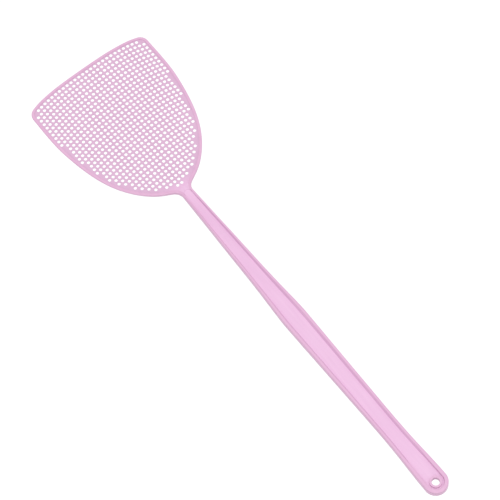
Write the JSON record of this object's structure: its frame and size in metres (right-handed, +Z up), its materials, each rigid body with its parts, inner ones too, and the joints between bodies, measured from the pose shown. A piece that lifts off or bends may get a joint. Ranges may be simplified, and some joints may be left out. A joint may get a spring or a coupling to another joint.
{
  "type": "fly swatter",
  "caption": "Flat fly swatter with a perforated shield-shaped paddle, a raised rim, a springy narrow neck and a tapering I-section handle with a hanging eye.",
  "frame": {"origin": "middle of the footprint, on the plane the handle's flanges rest on", "axes": "+X from the butt end to the paddle's top edge, +Y across the paddle, +Z up, square to the paddle's face"},
  "size_m": [0.435, 0.1084, 0.006],
  "materials": {
    "pink_plastic": "smooth injection-moulded polyethylene with a soft gloss, coloured right through"
  },
  "bodies": {
    "handle": {"handle_web": "pink_plastic", "left_flange": "pink_plastic", "right_flange": "pink_plastic", "butt_loop": "pink_plastic", "flex_neck": "pink_plastic"},
    "paddle": {"swat_mesh": "pink_plastic", "paddle_rim": "pink_plastic", "shoulder_web": "pink_plastic"}
  },
  "joints": [
    {"name": "neck_flex", "type": "hinge", "parent": "handle", "child": "paddle", "pos_m": [0.0719, 0, 0.003], "axis": [0, 1, 0], "range_deg": [-25, 25], "stiffness_Nm_per_rad": 0.6, "deforming": ["flex_neck"]}
  ]
}
